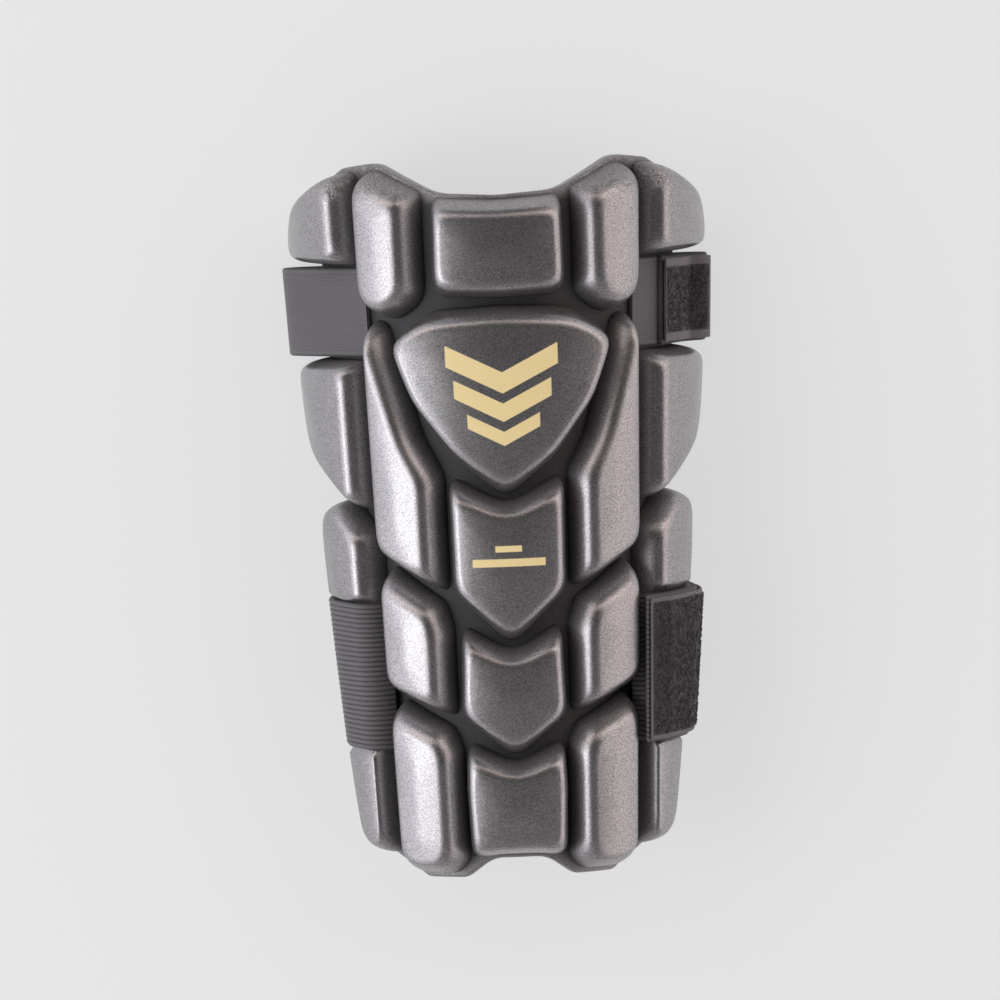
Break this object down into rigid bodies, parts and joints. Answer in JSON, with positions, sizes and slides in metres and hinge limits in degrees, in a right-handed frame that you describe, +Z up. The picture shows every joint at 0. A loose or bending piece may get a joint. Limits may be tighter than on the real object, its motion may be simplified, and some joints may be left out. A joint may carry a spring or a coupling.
{
  "type": "cricket arm guard",
  "caption": "Curved moulded foam forearm guard with raised pads and two elastic touch-fastened straps.",
  "frame": {"origin": "middle of the guard's box, on the surface that it lies on", "axes": "+Z up out of the padded face, +Y along the forearm towards the elbow end, +X to the right of the face"},
  "size_m": [0.1588, 0.2564, 0.0746],
  "materials": {
    "moulded_foam": "metallic charcoal satin skin on closed-cell foam",
    "elastic_webbing": "woven elastic with fine ribs along its length",
    "fastener_nap": "napped touch-fastener loop"
  },
  "bodies": {
    "root": {"moulded_shell": "moulded_foam", "upper_elastic_strap": "elastic_webbing", "upper_anchor_strap": "elastic_webbing", "upper_fastening_patch": "fastener_nap", "lower_elastic_strap": "elastic_webbing", "lower_anchor_strap": "elastic_webbing", "lower_fastening_patch": "fastener_nap"}
  },
  "joints": []
}
